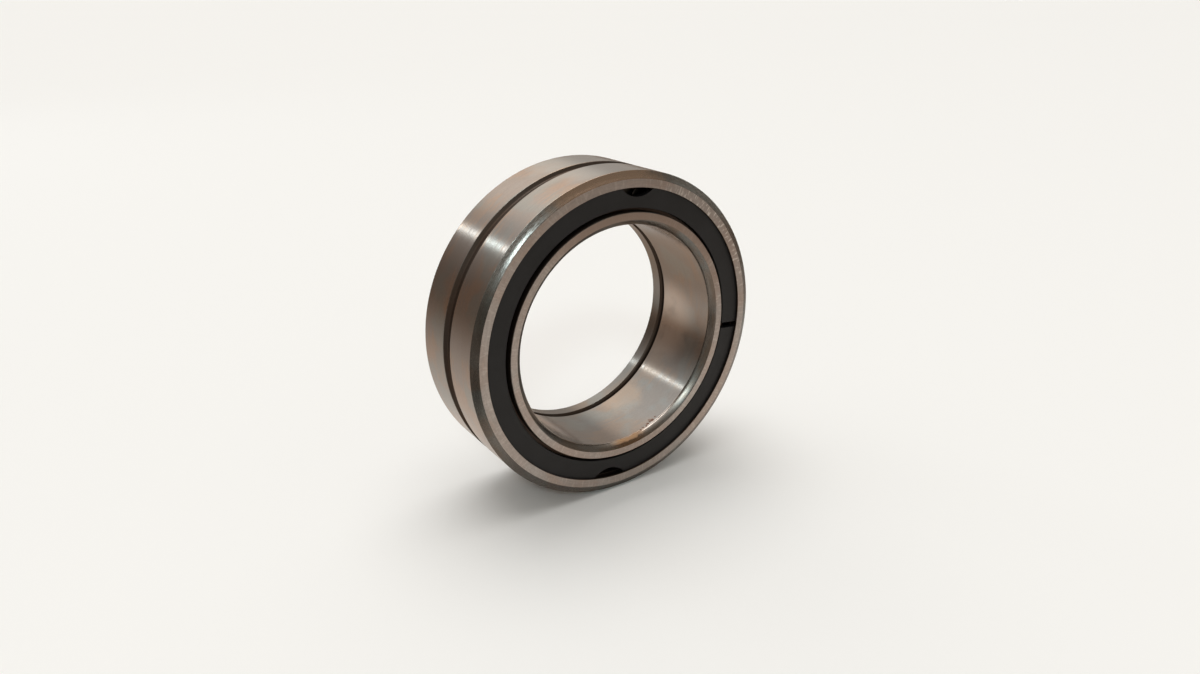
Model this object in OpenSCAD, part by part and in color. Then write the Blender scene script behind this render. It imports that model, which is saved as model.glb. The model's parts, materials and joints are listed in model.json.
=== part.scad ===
// Full-complement cylindrical roller bearing: two rows of rollers between an outer ring with an
// oil groove and an inner ring with one fixed rib and one loose rib ring, kept together by a snap
// ring at each side. The axis lies along Y, the front face looks towards -Y, +Z is up, and the
// origin is the centre of the bore at mid-width.

/* [Boundary] */
// Bore diameter, for the shaft
bore_d = 55; // [54:0.5:56]
// Outside diameter, for the housing
outside_d = 80; // [79:0.5:84]
// Width of both rings, face to face
ring_w = 25; // [22:0.5:30]

/* [Rollers] */
// Nominal roller diameter, which is also the height between the raceways
roller_d = 5; // [4.8:0.05:5]
// Rollers in each of the two rows, with no cage between them
rollers_per_row = 42; // [12:1:42]
// Free space between a roller and each raceway
running_clearance = 0.04; // [0.02:0.01:0.1]
// Free space between a roller's end and the rib, and half of the space between the rows
roller_end_play = 0.05; // [0.02:0.01:0.2]
// Bevel at the ends of a roller
roller_bevel = 0.3; // [0.1:0.05:0.6]

/* [Outer ring] */
// Raceway diameter of the outer ring
outer_raceway_d = 72.4; // [72.2:0.1:73]
// Bevel at the rim, measured along the face
rim_bevel_face = 1.7; // [0.4:0.1:1.8]
// Bevel at the rim, measured across the width
rim_bevel_side = 1; // [0.4:0.1:2]
// Width of the oil groove in the outside surface
oil_groove_w = 3.4; // [3:0.1:5]
// Width of the oil groove's floor
oil_floor_w = 2.4; // [2:0.1:2.8]
// Depth of the oil groove
oil_groove_depth = 1; // [0.4:0.1:1.4]
// Diameter of the oil hole between the groove and the rollers
oil_hole_d = 2; // [1:0.1:2]
// Place of the oil hole round the ring, counter-clockwise from +X as seen from the front
oil_hole_angle = -50; // [-180:5:180]

/* [Inner ring and rib ring] */
// Diameter of the neck that passes inside each snap ring
neck_d = 61.3; // [60.5:0.1:61.8]
// Length of the neck, from the face to the rib
neck_l = 2.4; // [2.4:0.1:2.6]
// Diameter of the ribs beside the rollers
rib_d = 67.2; // [65:0.1:68]
// Thickness of each rib
rib_t = 2.1; // [1.5:0.1:2.5]
// Bevel at the front of the bore, measured along the face
bore_bevel_face = 1.35; // [0.3:0.05:1.5]
// Bevel at the front of the bore, measured along the bore
bore_bevel_deep = 1.4; // [0.3:0.05:2]
// Bevel at the back of the bore, in the rib ring
rear_bevel = 0.55; // [0.2:0.05:1.2]
// Bevel on both rings where the rib ring meets the inner ring in the bore
joint_bevel = 0.95; // [0.1:0.05:1.2]

/* [Snap rings] */
// Inside diameter of a snap ring
snap_inside_d = 62.96; // [62.4:0.02:64]
// Outside diameter of a snap ring, seated in its groove
snap_outside_d = 75; // [74:0.1:75.2]
// Thickness of a snap ring
snap_t = 1.6; // [1:0.1:1.6]
// How far a snap ring lies below the ring faces
snap_recess = 0.6; // [0.4:0.1:0.6]
// Free space round a snap ring in its groove
snap_play = 0.05; // [0.02:0.01:0.1]
// Width of the split
split_gap = 1.5; // [0.8:0.1:3]
// Place of the front snap ring's split, counter-clockwise from +X as seen from the front
front_split_angle = -6; // [-180:1:180]
// Place of the back snap ring's split
back_split_angle = 174; // [-180:1:180]
// Radius of the two round notches in the outer edge
notch_r = 6.2; // [3:0.1:7]
// Distance from the axis to the centre of a notch
notch_centre = 40.2; // [39.5:0.1:42]

/* [Hidden] */
// Edges broken for handling, and for looks where two surfaces meet
edge_break = 0.1;
// Extra length of a cutter, past the surfaces that it opens
overcut = 1;
// Facets of a full circle in the preview
$fn = 180;

bore_r = bore_d / 2;
outside_r = outside_d / 2;
outer_raceway_r = outer_raceway_d / 2;
neck_r = neck_d / 2;
rib_r = rib_d / 2;
inner_raceway_r = outer_raceway_r - roller_d;
pitch_r = (outer_raceway_r + inner_raceway_r) / 2;

// Depths are measured from the front face
rib_front = neck_l;
rib_back = neck_l + rib_t;
joint_depth = ring_w - rib_back;
middle = ring_w / 2;

modelled_roller_r = roller_d / 2 - running_clearance;
roller_l = middle - rib_back - 2 * roller_end_play;

steel = [0.60, 0.55, 0.51];
bore_steel = [0.64, 0.59, 0.55];
black_steel = [0.12, 0.12, 0.11];
roller_steel = [0.72, 0.72, 0.72];

function pair_name(i) = str("rollers_", i < 10 ? "0" : "", i);

// A ring of the given [radius, depth] outline, turned about the bearing's axis
module turned(outline) {
    rotate([-90, 0, 0])
        translate([0, 0, -middle])
            rotate_extrude()
                polygon(outline);
}

// Moves what is drawn at +X to an angle round the axis, counter-clockwise as seen from the front
module at_angle(angle) {
    rotate([0, -angle, 0])
        children();
}

// Front half of the outer ring's outline, from the raceway round the face to the oil groove
outer_half = [
    [outer_raceway_r, snap_recess + snap_t + snap_play],
    [snap_outside_d / 2 + snap_play, snap_recess + snap_t + snap_play],
    [snap_outside_d / 2 + snap_play, snap_recess - snap_play],
    [outer_raceway_r, snap_recess - snap_play],
    [outer_raceway_r, edge_break],
    [outer_raceway_r + edge_break, 0],
    [outside_r - rim_bevel_face, 0],
    [outside_r, rim_bevel_side],
    [outside_r, middle - oil_groove_w / 2],
    [outside_r - oil_groove_depth, middle - oil_floor_w / 2]
];

module outer_ring() {
    last = len(outer_half) - 1;
    back_half = [for (i = [last : -1 : 0]) [outer_half[i].x, ring_w - outer_half[i].y]];
    color(steel)
        difference() {
            turned(concat(outer_half, back_half));
            at_angle(oil_hole_angle)
                translate([outer_raceway_r - overcut, 0, 0])
                    rotate([0, 90, 0])
                        cylinder(d = oil_hole_d, h = outside_r - outer_raceway_r + 2 * overcut);
        }
}

module inner_ring() {
    color(bore_steel)
        turned([
            [bore_r + bore_bevel_face, 0],
            [neck_r - edge_break, 0],
            [neck_r, edge_break],
            [neck_r, rib_front],
            [rib_r - edge_break, rib_front],
            [rib_r, rib_front + edge_break],
            [rib_r, rib_back - edge_break],
            [rib_r - edge_break, rib_back],
            [inner_raceway_r, rib_back],
            [inner_raceway_r, joint_depth],
            [bore_r + joint_bevel, joint_depth],
            [bore_r, joint_depth - joint_bevel],
            [bore_r, bore_bevel_deep]
        ]);
}

// The loose rib: it carries the rear rib and completes the bore behind the inner ring
module rear_rib_ring() {
    color(bore_steel)
        turned([
            [bore_r + joint_bevel, joint_depth],
            [rib_r - edge_break, joint_depth],
            [rib_r, joint_depth + edge_break],
            [rib_r, ring_w - rib_front - edge_break],
            [rib_r - edge_break, ring_w - rib_front],
            [neck_r, ring_w - rib_front],
            [neck_r, ring_w - edge_break],
            [neck_r - edge_break, ring_w],
            [bore_r + rear_bevel, ring_w],
            [bore_r, ring_w - rear_bevel],
            [bore_r, joint_depth + joint_bevel]
        ]);
}

// A flat split ring with two round notches, a quarter turn to each side of the split
module snap_ring(depth, split_angle) {
    inside_r = snap_inside_d / 2;
    wall = (snap_outside_d - snap_inside_d) / 2;
    color(black_steel)
        difference() {
            turned([
                [inside_r, depth],
                [snap_outside_d / 2, depth],
                [snap_outside_d / 2, depth + snap_t],
                [inside_r, depth + snap_t]
            ]);
            at_angle(split_angle)
                translate([inside_r - overcut, depth - middle - overcut, -split_gap / 2])
                    cube([wall + 2 * overcut, snap_t + 2 * overcut, split_gap]);
            for (side = [-90, 90])
                at_angle(split_angle + side)
                    translate([notch_centre, depth - middle - overcut, 0])
                        rotate([-90, 0, 0])
                            cylinder(r = notch_r, h = snap_t + 2 * overcut);
        }
}

module front_snap_ring() {
    snap_ring(snap_recess, front_split_angle);
}

module back_snap_ring() {
    snap_ring(ring_w - snap_recess - snap_t, back_split_angle);
}

// One roller, its front end at the given depth
module roller(depth) {
    turned([
        [0, depth],
        [modelled_roller_r - roller_bevel, depth],
        [modelled_roller_r, depth + roller_bevel],
        [modelled_roller_r, depth + roller_l - roller_bevel],
        [modelled_roller_r - roller_bevel, depth + roller_l],
        [0, depth + roller_l]
    ]);
}

// The front roller and the back roller that share one axis, as two separate solids
module roller_pair(i) {
    color(roller_steel)
        at_angle((i - 1) * 360 / rollers_per_row)
            translate([pitch_r, 0, 0]) {
                roller(rib_back + roller_end_play);
                roller(middle + roller_end_play);
            }
}

outer_ring();
inner_ring();
rear_rib_ring();
front_snap_ring();
back_snap_ring();
for (i = [1 : rollers_per_row])
    roller_pair(i);
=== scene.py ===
import json
import math

import bmesh
import bpy
from mathutils import Euler, Matrix, Vector


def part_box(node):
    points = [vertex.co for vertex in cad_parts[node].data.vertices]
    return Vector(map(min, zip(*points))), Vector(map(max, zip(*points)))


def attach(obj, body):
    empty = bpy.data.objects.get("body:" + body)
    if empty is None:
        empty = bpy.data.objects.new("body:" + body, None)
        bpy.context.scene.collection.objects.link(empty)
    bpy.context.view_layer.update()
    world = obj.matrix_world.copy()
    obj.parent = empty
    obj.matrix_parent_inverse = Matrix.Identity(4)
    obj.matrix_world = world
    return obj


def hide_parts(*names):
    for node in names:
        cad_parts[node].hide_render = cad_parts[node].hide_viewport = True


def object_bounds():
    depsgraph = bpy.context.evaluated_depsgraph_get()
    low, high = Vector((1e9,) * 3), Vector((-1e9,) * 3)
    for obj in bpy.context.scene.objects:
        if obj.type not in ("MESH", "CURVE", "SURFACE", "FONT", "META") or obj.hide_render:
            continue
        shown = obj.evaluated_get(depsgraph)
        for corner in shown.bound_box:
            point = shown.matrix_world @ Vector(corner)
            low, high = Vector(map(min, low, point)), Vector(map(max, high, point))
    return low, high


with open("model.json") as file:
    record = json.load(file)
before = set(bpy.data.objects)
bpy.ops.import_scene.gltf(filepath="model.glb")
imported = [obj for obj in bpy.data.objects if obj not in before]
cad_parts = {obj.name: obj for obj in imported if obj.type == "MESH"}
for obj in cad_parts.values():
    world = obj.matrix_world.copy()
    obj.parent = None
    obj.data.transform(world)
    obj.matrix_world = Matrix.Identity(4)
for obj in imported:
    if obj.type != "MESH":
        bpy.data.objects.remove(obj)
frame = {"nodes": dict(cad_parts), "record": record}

cad_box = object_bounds()
MM = 0.001


# The camera looks at the front face from its left and above, so near that the ring's
# rear half is clearly smaller than its front half.
camera_data = bpy.data.cameras.new("camera")
camera_data.sensor_width = 36
camera_data.lens = 25.9
camera = bpy.data.objects.new("camera", camera_data)
camera.location = Vector((-111.96, -165.88, 76.93)) * MM
camera.rotation_euler = Euler((math.radians(90 - 21.86), 0, math.radians(-34.39)))
bpy.context.scene.collection.objects.link(camera)
bpy.context.scene.camera = camera
bpy.context.scene.view_settings.view_transform = "Standard"


# Every material is written as sums and products of what its nodes give. It lives with the
# floor, the first thing that needs one.
class Shade:
    """What one node gives inside a material. Arithmetic on it adds Math nodes."""

    def __init__(self, tree, output):
        self.tree, self.output = tree, output

    def node(self, kind, settings, sockets, result=0):
        made = self.tree.nodes.new(kind)
        for name, value in settings.items():
            setattr(made, name, value)
        for name, value in sockets.items():
            if isinstance(value, Shade):
                self.tree.links.new(value.output, made.inputs[name])
            else:
                made.inputs[name].default_value = value
        return Shade(self.tree, made.outputs[result])

    def math(self, operation, first, second):
        return self.node("ShaderNodeMath", {"operation": operation}, {0: first, 1: second})

    def __add__(self, other):
        return self.math("ADD", self, other)

    def __sub__(self, other):
        return self.math("SUBTRACT", self, other)

    def __rsub__(self, other):
        return self.math("SUBTRACT", other, self)

    def __mul__(self, other):
        return self.math("MULTIPLY", self, other)

    def __truediv__(self, other):
        return self.math("DIVIDE", self, other)

    def __pow__(self, other):
        return self.math("POWER", self, other)

    __radd__ = __add__
    __rmul__ = __mul__

    def ramp(self, low, high):
        """0 where this is below low, 1 where it is above high, and smooth in between."""
        return self.node("ShaderNodeMapRange", {"interpolation_type": "SMOOTHSTEP"},
                         {"Value": self, "From Min": low, "From Max": high})

    def blend(self, colour, other):
        """The first colour where this is 0, and the other where it is 1."""
        return self.node("ShaderNodeMix", {"data_type": "RGBA"}, {0: self, 6: colour, 7: other}, 2)

    def distance(self, spot):
        return self.node("ShaderNodeVectorMath", {"operation": "DISTANCE"}, {0: self, 1: spot}, 1)

    def parts(self):
        """The x, the y and the z of a vector."""
        split = self.node("ShaderNodeSeparateXYZ", {}, {0: self}).output.node
        return [Shade(self.tree, part) for part in split.outputs]

    def noise(self, scale, detail, across=0.0):
        return self.node("ShaderNodeTexNoise", {"noise_dimensions": "4D"},
                         {"Vector": self, "W": across, "Scale": scale, "Detail": detail})


def new_material(name):
    """A material, its shader, and the place on the piece as a Shade."""
    material = bpy.data.materials.new(name)
    material.use_nodes = True
    tree = material.node_tree
    place = tree.nodes.new("ShaderNodeTexCoord").outputs["Object"]
    return material, tree.nodes["Principled BSDF"], Shade(tree, place)


def feed(shader, **sockets):
    """Links values that vary, and sets values that don't. Underscores stand for spaces."""
    for name, value in sockets.items():
        socket = shader.inputs[name.replace("_", " ")]
        if isinstance(value, Shade):
            value.tree.links.new(value.output, socket)
        else:
            socket.default_value = value


# The floor is a matt pale sheet that runs on to the horizon. The bearing stands on its rim.
# In the steel it mirrors a painted pool of light round the bearing, a painted shadow close behind
# it, the painted dark of the room beyond, and a painted shadow of the camera in front on the left.
FLOOR_REACH = 40


def make_object(bm, name):
    """Makes an object of a finished mesh and puts it in the scene."""
    mesh = bpy.data.meshes.new(name)
    bm.to_mesh(mesh)
    bm.free()
    made = bpy.data.objects.new(name, mesh)
    bpy.context.scene.collection.objects.link(made)
    return made


def lay_floor():
    bm = bmesh.new()
    bmesh.ops.create_grid(bm, x_segments=1, y_segments=1, size=FLOOR_REACH)
    bmesh.ops.translate(bm, verts=bm.verts, vec=(0, 0, cad_box[0][2]))
    floor = make_object(bm, "floor")
    material, shader, place = new_material("matt_floor")
    pale = (0.88, 0.875, 0.865, 1)
    # Painted light: in reflections the floor is brightest round the bearing and fades beyond.
    reach = place.parts()[1].ramp(0.05, -0.05) * 0.10 + 0.145
    lit = (place.distance((0, 0, 0)) / reach) ** 2 + 1
    # Painted shadow: in reflections the floor close behind the bearing is darker and warmer.
    painted_shadow_behind = place.distance((0.02, 0.06, -0.04)).ramp(0.065, 0.02)
    near = painted_shadow_behind.blend((0.78, 0.73, 0.69, 1), (0.60, 0.49, 0.41, 1))
    pool = (lit ** -1).blend((0.17, 0.12, 0.09, 1), near)
    # Painted shadow of the camera on the floor in front on the left.
    shaded = place.distance((-0.095, -0.085, -0.04)).ramp(0.04, 0.085)
    mirrored = (shaded * 0.8 + 0.2).blend((0, 0, 0, 1), pool)
    glossy = Shade(place.tree, place.tree.nodes.new("ShaderNodeLightPath").outputs["Is Glossy Ray"])
    feed(shader, Base_Color=glossy.blend(pale, mirrored), Roughness=0.9, Specular_IOR_Level=0.1)
    floor.data.materials.append(material)


lay_floor()


# Soft studio light: a wide lamp overhead, a smaller one near the camera for the glints, a
# strip behind on the left for the line of light along each cylinder, and walls that glow softly
# behind. The camera sees plain pale walls, and the steel mirrors the glowing ones.
def hang_sun(name, towards, strength, width, colour):
    data = bpy.data.lights.new(name, "SUN")
    data.energy, data.angle, data.color = strength, math.radians(width), colour
    sun = bpy.data.objects.new(name, data)
    sun.rotation_euler = Vector(towards).to_track_quat("Z", "Y").to_euler()
    bpy.context.scene.collection.objects.link(sun)


def seen_at(heading, height):
    """The direction at these degrees to the right of +Y and above the horizon."""
    heading, height = math.radians(heading), math.radians(height)
    level = math.cos(height)
    return Vector((math.sin(heading) * level, math.cos(heading) * level, math.sin(height)))


def hang_strip(name, start, end, width, radiance, colour):
    data = bpy.data.lights.new(name, "AREA")
    data.shape = "RECTANGLE"
    data.size, data.size_y = (end - start).length, width
    data.energy, data.color = radiance * math.pi * data.size * data.size_y, colour
    strip = bpy.data.objects.new(name, data)
    middle, along = (start + end) / 2, (end - start).normalized()
    across = middle.cross(along).normalized()
    turn = Matrix((along, across, along.cross(across))).transposed()
    strip.matrix_world = Matrix.Translation(middle) @ turn.to_4x4()
    bpy.context.scene.collection.objects.link(strip)


hang_sun("overhead", (0.05, 0.1, 1), 1.5, 55, (1, 0.99, 0.97))
hang_sun("key", (-0.43, -0.69, 0.585), 0.36, 9, (0.82, 0.97, 1))
hang_strip("strip", seen_at(-15.8, 20.5), seen_at(-38.6, 35.6), 0.030, 4.3, (0.88, 0.98, 1))


def light_room():
    world = bpy.data.worlds.new("room")
    bpy.context.scene.world = world
    world.use_nodes = True
    tree = world.node_tree
    way = Shade(tree, tree.nodes.new("ShaderNodeTexCoord").outputs["Generated"])
    y, z = way.parts()[1:]
    room = z.ramp(0.12, 0.85).blend((0.18, 0.14, 0.115, 1), (0.90, 0.88, 0.85, 1))
    room = y.ramp(0.3, -0.2).blend(room, (0.29, 0.275, 0.25, 1))
    for middle, reach, core, colour in ((seen_at(12, 24), 23, 8, (0.50, 0.42, 0.34, 1)),
                                        (seen_at(34, 7), 20, 5, (0.25, 0.24, 0.22, 1)),
                                        (seen_at(-14, 48), 26, 8, (0.18, 0.19, 0.19, 1))):
        near = way.node("ShaderNodeVectorMath", {"operation": "DOT_PRODUCT"}, {0: way, 1: middle}, 1)
        fade = near.ramp(math.cos(math.radians(reach)), math.cos(math.radians(core)))
        glow = fade.blend((0, 0, 0, 1), colour)
        room = room.node("ShaderNodeMix", {"data_type": "RGBA", "blend_type": "ADD"},
                         {0: 1.0, 6: room, 7: glow}, 2)
    seen = Shade(tree, tree.nodes.new("ShaderNodeLightPath").outputs["Is Camera Ray"])
    colour = seen.blend(room, (0.76, 0.75, 0.74, 1))
    tree.links.new(colour.output, tree.nodes["Background"].inputs["Color"])


light_room()


# Outer ring: through-hardened bearing steel, turned, then ground outside and on both faces.
# The rim bevels and the oil groove keep their turned surface. Grooves inside hold the snap rings.
# The raceway and the grooves inside take the oil groove's dark colour as painted shade.
# Sizes are in millimetres, and a face within a HAIR of a surface belongs to it.
WIDTH = (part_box("outer_ring")[1][1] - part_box("outer_ring")[0][1]) / MM
OUTSIDE_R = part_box("outer_ring")[1][0] / MM
RACEWAY_R = 36.2
SNAP_GROOVE = (37.55, 0.55, 2.25)
RIM_BEVEL = (1.7, 1.0)
OIL_GROOVE = (3.4, 2.4, 1.0)
OIL_HOLE_R = 1.0
OIL_HOLE_AT = -50
AROUND = 240
HOLE_AROUND = 48
DRILL_L = 10
SAME_POINT = MM / 1000
HAIR = 0.01
GROUND, SIDE, BEVEL, OILED_AND_SHADE = range(4)


def hollow(start, end, dip):
    """Points between two corners of an outline, on an arc that dips below the straight line
    in its middle. A dip below 0 gives an arc that swells above it."""
    (r0, d0), (r1, d1) = start, end
    out, back = r1 - r0, d1 - d0
    points = []
    for t in (0.25, 0.5, 0.75):
        down = 4 * dip * t * (1 - t) / math.hypot(out, back)
        points.append((r0 + out * t - back * down, d0 + back * t + out * down, 0))
    return points


def round_corner(bm, corner, rounding):
    bmesh.ops.bevel(bm, geom=[corner], offset=rounding * MM, segments=3,
                    profile=0.5, affect="VERTICES", material=-1)


def spin_outline(bm, steps):
    """Turns the outline in bm about the bearing's axis, into a closed solid."""
    bmesh.ops.spin(bm, geom=bm.verts[:] + bm.edges[:], cent=(0, 0, 0), axis=(0, 1, 0),
                   angle=math.tau, steps=steps, use_merge=True)
    bmesh.ops.remove_doubles(bm, verts=bm.verts, dist=SAME_POINT)
    bmesh.ops.recalc_face_normals(bm, faces=bm.faces)


def turn_ring(outline):
    """A ring turned about the bearing's axis. A corner is its radius, its depth from the front
    face and its rounding."""
    bm = bmesh.new()
    corners = [bm.verts.new((r * MM, (d - WIDTH / 2) * MM, 0)) for r, d, rounding in outline]
    for a, b in zip(corners, corners[1:] + corners[:1]):
        bm.edges.new((a, b))
    for corner, (r, d, rounding) in zip(corners, outline):
        if rounding:
            round_corner(bm, corner, rounding)
    spin_outline(bm, AROUND)
    return bm


def one_finish(radius, depth, facing):
    return 0


def give_finish(bm, choose=one_finish):
    """Gives each face the slot that choose returns for its radius, its depth and how far it faces
    along the axis."""
    for face in bm.faces:
        face.smooth = True
        centre = face.calc_center_median()
        radius = math.hypot(centre.x, centre.z) / MM
        face.material_index = choose(radius, centre.y / MM + WIDTH / 2, abs(face.normal.y))


def place_piece(bm, name, materials):
    """Makes a piece with its materials, and keeps its flat faces flat beside its roundings."""
    piece = make_object(bm, name)
    for material in materials:
        piece.data.materials.append(material)
    flats = piece.modifiers.new("flats_stay_flat", "WEIGHTED_NORMAL")
    flats.keep_sharp = True
    return piece


def cut_away(piece, bm):
    """Takes the closed shapes of bm out of a piece."""
    cutter = make_object(bm, "cutter")
    cut = piece.modifiers.new("cut", "BOOLEAN")
    cut.operation, cut.solver, cut.object = "DIFFERENCE", "EXACT", cutter
    with bpy.context.temp_override(object=piece, active_object=piece):
        bpy.ops.object.modifier_move_to_index(modifier="cut", index=0)
        bpy.ops.object.modifier_apply(modifier="cut")
    bpy.data.objects.remove(cutter)


def grinding(place, around, across):
    """Fine lines that run round the bearing's axis: around cells to a radius, and across cells to
    a millimetre."""
    x, y, z = place.parts()
    radius = (x * x + z * z) ** 0.5
    cells = place.node("ShaderNodeCombineXYZ", {},
                       {0: x / radius * around, 1: y * (across / MM), 2: z / radius * around})
    return cells.noise(1.0, 3.0, across=radius * (across / MM))


def bump(height, depth):
    """A normal for lines and pits whose height runs from 0 to 1 over depth, in millimetres."""
    return height.node("ShaderNodeBump", {},
                       {"Height": height, "Distance": depth * MM, "Strength": 1.0})


def ground_steel(name, colour, stain, clean, rough, around, across, depth, marks=None, grain=0.35):
    """Bearing steel with grinding lines and thin stains: warm ones, and cool cleaner ones over them.
    marks takes the place and the colour so far. It returns the colour with this surface's own
    marks and painted light, and how far the surface is still bare metal."""
    material, shader, place = new_material(name)
    lines = grinding(place, around, across)
    broad = grinding(place, around / 3, across / 6)
    warm = (place.noise(85.0, 4.0) + (broad - 0.5) * 0.4).ramp(0.46, 0.57)
    cool = (place.noise(105.0, 3.0, across=3.0) + (lines - 0.5) * 0.2).ramp(0.50, 0.62)
    tint = (cool * 0.75).blend((warm * 0.85).blend((*colour, 1), (*stain, 1)), (*clean, 1))
    speckled = lines * 0.6 + place.noise(2300.0, 2.0) * 0.4
    worn = (speckled.ramp(0.35, 0.65) * grain).blend(tint, tuple(c * 0.7 for c in colour) + (1,))
    colour, bare = marks(place, worn) if marks else (worn, 1.0)
    feed(shader, Base_Color=colour, Metallic=bare,
         Roughness=(broad - 0.5) * 0.16 + (lines - 0.5) * 0.12 + rough + (1 - bare) * 0.45,
         Normal=bump(lines + broad * 0.5, depth))
    return material


def spot_at(angle, radius, depth):
    """A place on the bearing, by its angle round the axis seen from the front, its radius and its
    depth."""
    angle = math.radians(angle)
    return Vector((radius * math.cos(angle), depth - WIDTH / 2, radius * math.sin(angle))) * MM


def painted_top_sheen(place, colour):
    """The top of the outside is painted a lighter, cooler grey, as a painted sheen."""
    smears = (place.noise(120.0, 3.0) - 0.5) * 0.03
    # Painted sheen: a lighter, cooler patch on the top of the outside.
    painted_sheen = (place.distance(spot_at(86, OUTSIDE_R, 13)) + smears).ramp(0.024, 0.008)
    return (painted_sheen * 0.85).blend(colour, (0.50, 0.51, 0.50, 1)), 1.0


def rim_marks_and_painted_light(place, colour):
    """The rim bevel carries a painted glint of bright streaks at the upper left, lighter streaks on
    the upper right, and painted shade on the left and at the lower left. It is brown on its upper
    part."""
    streaks = grinding(place, 45, 9).ramp(0.35, 0.6)
    # A painted glint at the upper left, lighter streaks on the upper right, painted shade on the left
    # and lower left.
    for angle, edge, inside, amount, tint in ((134, 14, 4, streaks, (0.56, 0.555, 0.53, 1)),
                                              (50, 20, 6, streaks * 0.6, (0.52, 0.49, 0.45, 1)),
                                              (164, 10, 3, 0.7, (0.07, 0.06, 0.05, 1)),
                                              (232, 18, 6, 0.5, (0.10, 0.085, 0.08, 1))):
        patch = place.distance(spot_at(angle, 39, 0.5)).ramp(edge * MM, inside * MM)
        colour = (patch * amount).blend(colour, tint)
    rough_edge = (place.noise(600.0, 3.0) - 0.5) * 0.012
    patch = (place.distance(spot_at(98, 39, 0.5)) + rough_edge).ramp(0.020, 0.008)
    return (patch * 0.8).blend(colour, (0.54, 0.36, 0.245, 1)), 1.0


def tick_marks_and_painted_sparkle(place, colour):
    """Short bright marks across the grinding lines. A painted sparkle makes them brightest on the
    upper right of the face.
    """
    x, y, z = place.parts()
    radius = (x * x + z * z) ** 0.5
    turned = place.node("ShaderNodeCombineXYZ", {},
                        {0: x / radius * 70, 1: y * 300, 2: z / radius * 70})
    ticks = turned.noise(1.0, 2.0, across=radius * 500).ramp(0.53, 0.64)
    # Painted sparkle: the marks are strongest on the upper right of the face.
    patch = place.distance(spot_at(42, 38, 0)).ramp(0.026, 0.008) * 0.65 + 0.15
    return (ticks * patch).blend(colour, (0.90, 0.86, 0.81, 1)), 1.0


ground_outside = ground_steel("ground_outside", (0.42, 0.37, 0.335), (0.50, 0.37, 0.285),
                              (0.38, 0.395, 0.375), 0.18, 5, 9, 0.0015, painted_top_sheen)
ground_side = ground_steel("ground_side", (0.51, 0.45, 0.41), (0.50, 0.405, 0.35),
                           (0.53, 0.50, 0.47), 0.36, 16, 7, 0.006, tick_marks_and_painted_sparkle, 0.6)
turned_bevel = ground_steel("turned_bevel", (0.23, 0.215, 0.195), (0.22, 0.175, 0.14),
                            (0.24, 0.265, 0.25), 0.27, 28, 8, 0.016, rim_marks_and_painted_light, 0.7)
# Dark oiled steel for the oil groove, and painted shade on the surfaces inside the bearing.
oiled_groove = ground_steel("oiled_groove", (0.105, 0.078, 0.062), (0.10, 0.068, 0.050),
                            (0.105, 0.084, 0.070), 0.5, 5, 4, 0.004)


def is_side(depth, facing):
    """Whether a face lies flat in the front or the back of the bearing."""
    return facing > 0.999 and min(depth, WIDTH - depth) < HAIR


def add_round_cutter(bm, radius, length, around, matrix):
    """Adds a closed cylinder that lies along the matrix's z axis."""
    bmesh.ops.create_cone(bm, cap_ends=True, segments=around, radius1=radius * MM,
                          radius2=radius * MM, depth=length * MM, matrix=matrix)


def build_outer_ring():
    groove_r, groove_front, groove_back = SNAP_GROOVE
    oil_w, floor_w, oil_depth = OIL_GROOVE
    face_edge, rim_edge = (OUTSIDE_R - RIM_BEVEL[0], 0), (OUTSIDE_R, RIM_BEVEL[1])
    half = [
        (RACEWAY_R, groove_back, 0.1),
        (groove_r, groove_back, 0.1),
        (groove_r, groove_front, 0.1),
        (RACEWAY_R, groove_front, 0.1),
        (RACEWAY_R, 0, 0.06),
        (*face_edge, 0.1),
        *hollow(face_edge, rim_edge, 0.14),
        (*rim_edge, 0.06),
        (OUTSIDE_R, (WIDTH - oil_w) / 2, 0.12),
        (OUTSIDE_R - oil_depth, (WIDTH - floor_w) / 2, 0.25),
    ]
    bm = turn_ring(half + [(r, WIDTH - d, rounding) for r, d, rounding in reversed(half)])

    def choose(radius, depth, facing):
        if is_side(depth, facing):
            return SIDE
        if radius > OUTSIDE_R - HAIR:
            return GROUND
        # The raceway and the snap grooves inside take the dark oiled colour as painted shade.
        in_groove = abs(depth - WIDTH / 2) < oil_w / 2
        return OILED_AND_SHADE if in_groove or radius < groove_r + HAIR else BEVEL

    give_finish(bm, choose)
    ring = place_piece(bm, "turned_outer_ring",
                       [ground_outside, ground_side, turned_bevel, oiled_groove])
    drill = bmesh.new()
    outwards = Matrix.Rotation(-math.radians(OIL_HOLE_AT), 4, "Y")
    there = outwards @ Matrix.Translation((OUTSIDE_R * MM, 0, 0))
    add_round_cutter(drill, OIL_HOLE_R, DRILL_L, HOLE_AROUND,
                     there @ Matrix.Rotation(math.radians(90), 4, "Y"))
    cut_away(ring, drill)
    return ring


outer_ring = build_outer_ring()
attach(outer_ring, "outer_assembly")
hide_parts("outer_ring")


# Inner ring: the bore, the front rib and the raceway in one piece. The front of the bore has a
# wide rounded bevel that leads the shaft in. A few rust spots have started beside that bevel.
BORE_R = next(m["dims"]["r_mm"] for m in frame["record"]["mounts"] if m["name"] == "shaft_bore")
NECK_R = 30.65
NECK_L = 2.4
RIB_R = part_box("inner_ring")[1][0] / MM
RIB_T = 2.1
INNER_RACEWAY_R = 31.2
JOINT_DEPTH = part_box("inner_ring")[1][1] / MM + WIDTH / 2
JOINT_BEVEL = 0.95
BORE_BEVEL = (1.35, 1.4)


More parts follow.
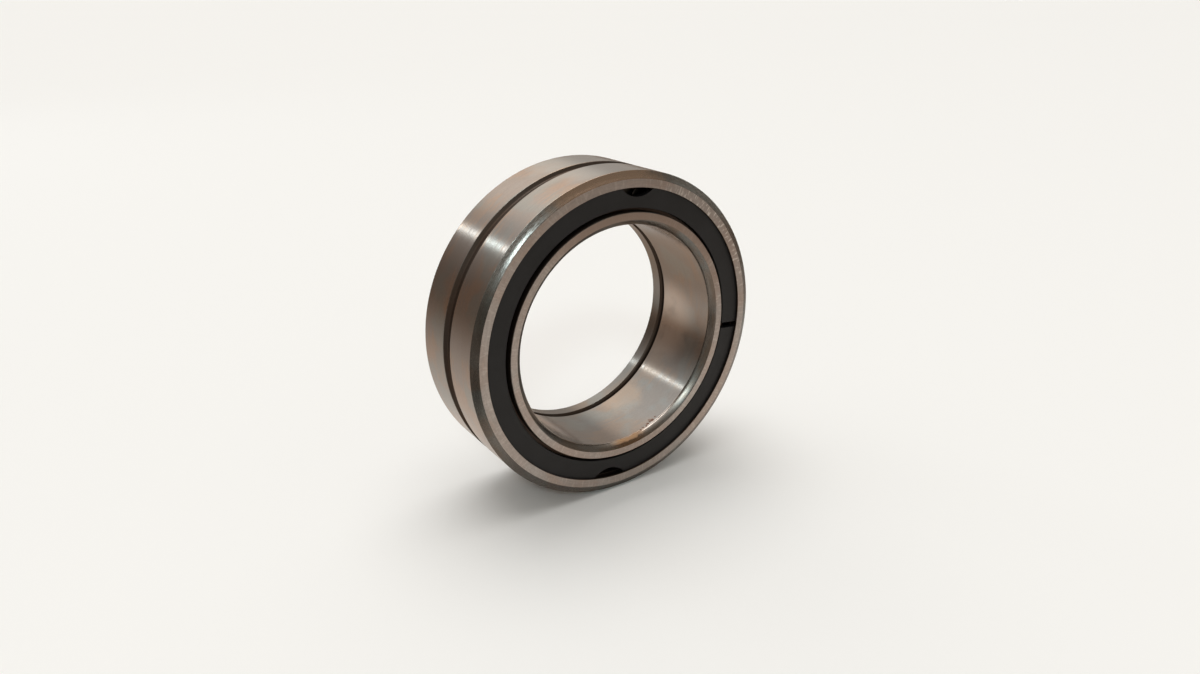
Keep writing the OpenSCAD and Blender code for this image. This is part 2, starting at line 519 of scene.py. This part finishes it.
def rust_and_painted_sheen(place, colour):
    """A painted highlight and a lighter beige patch, both deep in the bore, then thin orange rust
    near the bottom of the front edge, and a few specks beside it."""
    # Painted highlight: a lighter streaky patch deep in the bore on the right.
    sheen_streaks = place.noise(150.0, 3.0).ramp(0.2, 0.5)
    painted_sheen = place.distance(spot_at(-12, BORE_R, 17)).ramp(0.013, 0.004) * sheen_streaks
    colour = (painted_sheen * 0.9).blend(colour, (0.72, 0.62, 0.54, 1))
    beige = place.distance(spot_at(-65, BORE_R, 16.5)) + (place.noise(260.0, 3.0) - 0.5) * 0.008
    colour = (beige.ramp(0.0075, 0.0030) * 0.6).blend(colour, (0.50, 0.395, 0.31, 1))
    blotches = (place.noise(500.0, 4.0) - 0.5) * 0.0018
    edge = place.parts()[1] + WIDTH / 2 * MM + blotches
    along = place.distance(spot_at(-85, 27.7, 1.2)).ramp(0.0065, 0.0020)
    colour = (along * edge.ramp(0.0013, 0.0007) * 0.8).blend(colour, (0.22, 0.12, 0.06, 1))
    thickness = place.noise(900.0, 2.0) * 0.5 + 0.75
    tinted_area = along * edge.ramp(0.0021, 0.0014) * edge.ramp(0.0005, 0.0010) * thickness
    colour = tinted_area.blend(colour, (0.56, 0.325, 0.175, 1))
    rust = tinted_area * 0.75
    for angle, depth, size in ((-76, 1.6, 0.4), (-74, 1.8, 0.45), (-72, 1.7, 0.4),
                               (-70.5, 2.1, 0.55), (-68.5, 2.4, 0.4), (-67, 2.2, 0.75),
                               (-68, 3.0, 0.35), (-64.5, 2.5, 0.35)):
        away = place.distance(spot_at(angle, BORE_R, depth)) + blotches * 0.2
        speck = away.ramp(size * MM, size * MM / 3)
        colour = (speck * 0.85).blend(colour, (0.20, 0.075, 0.035, 1))
        rust = rust + speck * 0.6
    return colour, 1 - rust.ramp(0, 1)


def bevel_marks_and_painted_shade(place, colour):
    """The bevel is lighter beside the bore at the bottom. A painted shade, a dark patch that is no
    longer bare metal, darkens it at the upper left. The rust of the bore's edge runs on over it."""
    from_front = place.parts()[1] + WIDTH / 2 * MM
    low = place.distance(spot_at(-74, 27.7, 1)).ramp(0.017, 0.008)
    lighter_low_band = low * from_front.ramp(0.0003, 0.0014)
    colour = (lighter_low_band * 0.9).blend(colour, (0.72, 0.64, 0.58, 1))
    # Painted shade: a dark non-metal patch on the bevel at the upper left.
    painted_shade_patch = place.distance(spot_at(148, 28, 0.7)).ramp(0.029, 0.019)
    colour, bare = rust_and_painted_sheen(place, painted_shade_patch.blend(colour, (0.06, 0.048, 0.038, 1)))
    return colour, bare * (1 - painted_shade_patch)


def browner_top_of_face(place, colour):
    """The top and the upper right of the inner ring's face are darker and browner."""
    streaks = (place.noise(220.0, 3.0) - 0.5) * 0.02
    tinted_area = (place.distance(spot_at(70, 30, 0)) + streaks).ramp(0.034, 0.018)
    colour, bare = tick_marks_and_painted_sparkle(place, colour)
    return (tinted_area * 0.85).blend(colour, (0.37, 0.285, 0.235, 1)), bare


ground_bore = ground_steel("ground_bore", (0.35, 0.322, 0.298), (0.40, 0.325, 0.27),
                           (0.35, 0.37, 0.36), 0.165, 5, 8, 0.0015, rust_and_painted_sheen)
ground_rib = ground_steel("ground_rib", (0.30, 0.28, 0.26), (0.325, 0.275, 0.23),
                          (0.30, 0.315, 0.305), 0.18, 5, 8, 0.0015)
inner_side = ground_steel("inner_side", (0.51, 0.45, 0.41), (0.50, 0.405, 0.35),
                          (0.53, 0.50, 0.47), 0.36, 16, 7, 0.006, browner_top_of_face, 0.6)
bore_bevel = ground_steel("bore_bevel", (0.225, 0.20, 0.175), (0.205, 0.16, 0.125),
                          (0.225, 0.235, 0.225), 0.28, 12, 6, 0.006, bevel_marks_and_painted_shade)


def inner_finish(radius, depth, facing):
    """The slot of a face of the inner ring or the rib ring."""
    if radius < BORE_R + HAIR:
        return GROUND
    if is_side(depth, facing):
        return SIDE
    at_joint = abs(depth - JOINT_DEPTH) < JOINT_BEVEL + HAIR
    # The neck, the rib and the raceway inside take the dark oiled colour as painted shade; the
    # joint's bevels take it as a dark joint.
    return OILED_AND_SHADE if radius > NECK_R - HAIR or at_joint else BEVEL


def build_inner_ring():
    face_edge, bore_edge = (BORE_R + BORE_BEVEL[0], 0), (BORE_R, BORE_BEVEL[1])
    bm = turn_ring([
        (*face_edge, 0.05),
        (NECK_R, 0, 0.12),
        (NECK_R, NECK_L, 0.15),
        (RIB_R, NECK_L, 0.2),
        (RIB_R, NECK_L + RIB_T, 0.2),
        (INNER_RACEWAY_R, NECK_L + RIB_T, 0.1),
        (INNER_RACEWAY_R, JOINT_DEPTH, 0),
        (BORE_R + JOINT_BEVEL, JOINT_DEPTH, 0),
        (BORE_R, JOINT_DEPTH - JOINT_BEVEL, 0.08),
        (*bore_edge, 0.3),
        *hollow(bore_edge, face_edge, -0.05),
    ])
    give_finish(bm, inner_finish)
    return place_piece(bm, "turned_inner_ring", [ground_bore, inner_side, bore_bevel, oiled_groove])


inner_ring = build_inner_ring()
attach(inner_ring, "inner_assembly")
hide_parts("inner_ring")


# Loose rib ring: a narrow ring that closes the back of the inner ring and guides the rear row.
# Both edges of the joint are bevelled, which leaves a dark line round the bore.
REAR_BEVEL = 0.55
rib_bm = turn_ring([
    (BORE_R + JOINT_BEVEL, JOINT_DEPTH, 0),
    (RIB_R, JOINT_DEPTH, 0.2),
    (RIB_R, WIDTH - NECK_L, 0.2),
    (NECK_R, WIDTH - NECK_L, 0.15),
    (NECK_R, WIDTH, 0.06),
    (BORE_R + REAR_BEVEL, WIDTH, 0.08),
    (BORE_R, WIDTH - REAR_BEVEL, 0.08),
    (BORE_R, JOINT_DEPTH + JOINT_BEVEL, 0.08),
])
give_finish(rib_bm, inner_finish)
rib_ring = place_piece(rib_bm, "loose_rib_ring", [ground_rib, inner_side, bore_bevel, oiled_groove])
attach(rib_ring, "inner_assembly")
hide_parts("rear_rib_ring")


# Snap rings: stamped from spring steel and blackened. Each has a narrow split and two round
# notches in its outer edge, and is sprung into a groove of the outer ring just below the face.
SNAP_R = (31.48, 37.5)
SNAP_T = 1.6
SNAP_RECESS = 0.6
SPLIT = 1.5
FRONT_SPLIT_AT = -6
BACK_SPLIT_AT = 174
SLIT_L = 10
NOTCH_R = 6.2
NOTCH_AT = 40.2
NOTCH_AROUND = 96


def black_oxide():
    material, shader, place = new_material("black_oxide")
    speckle = place.noise(2600.0, 3.0)
    cloud = place.noise(160.0, 3.0)
    colour = (cloud.ramp(0.35, 0.7) * 0.7).blend((0.0095, 0.0088, 0.0088, 1),
                                                 (0.0155, 0.0142, 0.0145, 1))
    feed(shader, Base_Color=colour, Specular_IOR_Level=0.4,
         Roughness=(cloud - 0.5) * 0.15 + (speckle - 0.5) * 0.2 + 0.5, Normal=bump(speckle, 0.004))
    return material


def build_snap_ring(name, depth, split_angle):
    inside, outside = SNAP_R
    bm = turn_ring([
        (inside, depth, 0.12),
        (outside, depth, 0.12),
        (outside, depth + SNAP_T, 0.12),
        (inside, depth + SNAP_T, 0.12),
    ])
    give_finish(bm)
    piece = place_piece(bm, name, [blackened])
    middle, through = depth + SNAP_T / 2, 3 * SNAP_T
    punch = bmesh.new()
    for side in (-90, 90):
        there = Matrix.Translation(spot_at(split_angle + side, NOTCH_AT, middle))
        add_round_cutter(punch, NOTCH_R, through, NOTCH_AROUND,
                         there @ Matrix.Rotation(math.radians(90), 4, "X"))
    outwards = Matrix.Rotation(-math.radians(split_angle), 4, "Y")
    there = Matrix.Translation(spot_at(split_angle, sum(SNAP_R) / 2, middle))
    slit = Matrix.Diagonal((SLIT_L * MM, through * MM, SPLIT * MM, 1))
    bmesh.ops.create_cube(punch, size=1, matrix=there @ outwards @ slit)
    cut_away(piece, punch)
    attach(piece, "outer_assembly")
    return piece


blackened = black_oxide()
front_snap_ring = build_snap_ring("snap_ring_front", SNAP_RECESS, FRONT_SPLIT_AT)
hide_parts("front_snap_ring")
back_snap_ring = build_snap_ring("snap_ring_back", WIDTH - SNAP_RECESS - SNAP_T, BACK_SPLIT_AT)
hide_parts("back_snap_ring")


# Rollers: polished bearing steel with rounded ends, 42 to a row with no cage. The front and the
# back roller on one axis make one pair. Their colour is painted near black as painted shade for
# their place deep inside the bearing.
PITCH_R = (RACEWAY_R + INNER_RACEWAY_R) / 2
PAIRS = sum(name.startswith("rollers_") for name in frame["nodes"])
ROLLER_R = 2.46
ROLLER_L = 7.9
ROLLER_BEVEL = 0.3
END_PLAY = 0.05
ROLLER_AROUND = 40


def polished_roller():
    material, shader, place = new_material("polished_roller")
    stretched = place.node("ShaderNodeMapping", {}, {"Vector": place, "Scale": (300, 9000, 300)})
    rings = stretched.noise(1.0, 2.0)
    # Painted shade: a near-black colour stands for the shade deep inside the bearing.
    feed(shader, Base_Color=rings.blend((0.10, 0.088, 0.08, 1), (0.13, 0.115, 0.10, 1)), Metallic=1.0,
         Roughness=rings * 0.1 + 0.30)
    return material


def build_roller_pair(number, material):
    bm = bmesh.new()
    for depth in (NECK_L + RIB_T, WIDTH / 2):
        front = depth + END_PLAY
        back = front + ROLLER_L
        corners = [bm.verts.new((r * MM, (d - WIDTH / 2) * MM, 0))
                   for r, d in ((0, front), (ROLLER_R, front), (ROLLER_R, back), (0, back))]
        for pair in zip(corners, corners[1:]):
            bm.edges.new(pair)
        for corner in corners[1:3]:
            round_corner(bm, corner, ROLLER_BEVEL)
    spin_outline(bm, ROLLER_AROUND)
    give_finish(bm)
    bmesh.ops.translate(bm, verts=bm.verts,
                        vec=spot_at(360 * (number - 1) / PAIRS, PITCH_R, WIDTH / 2))
    piece = place_piece(bm, f"roller_pair_{number:02d}", [material])
    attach(piece, f"rollers_{number:02d}")
    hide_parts(f"rollers_{number:02d}")


shaded_roller_steel = polished_roller()
for number in range(1, PAIRS + 1):
    build_roller_pair(number, shaded_roller_steel)
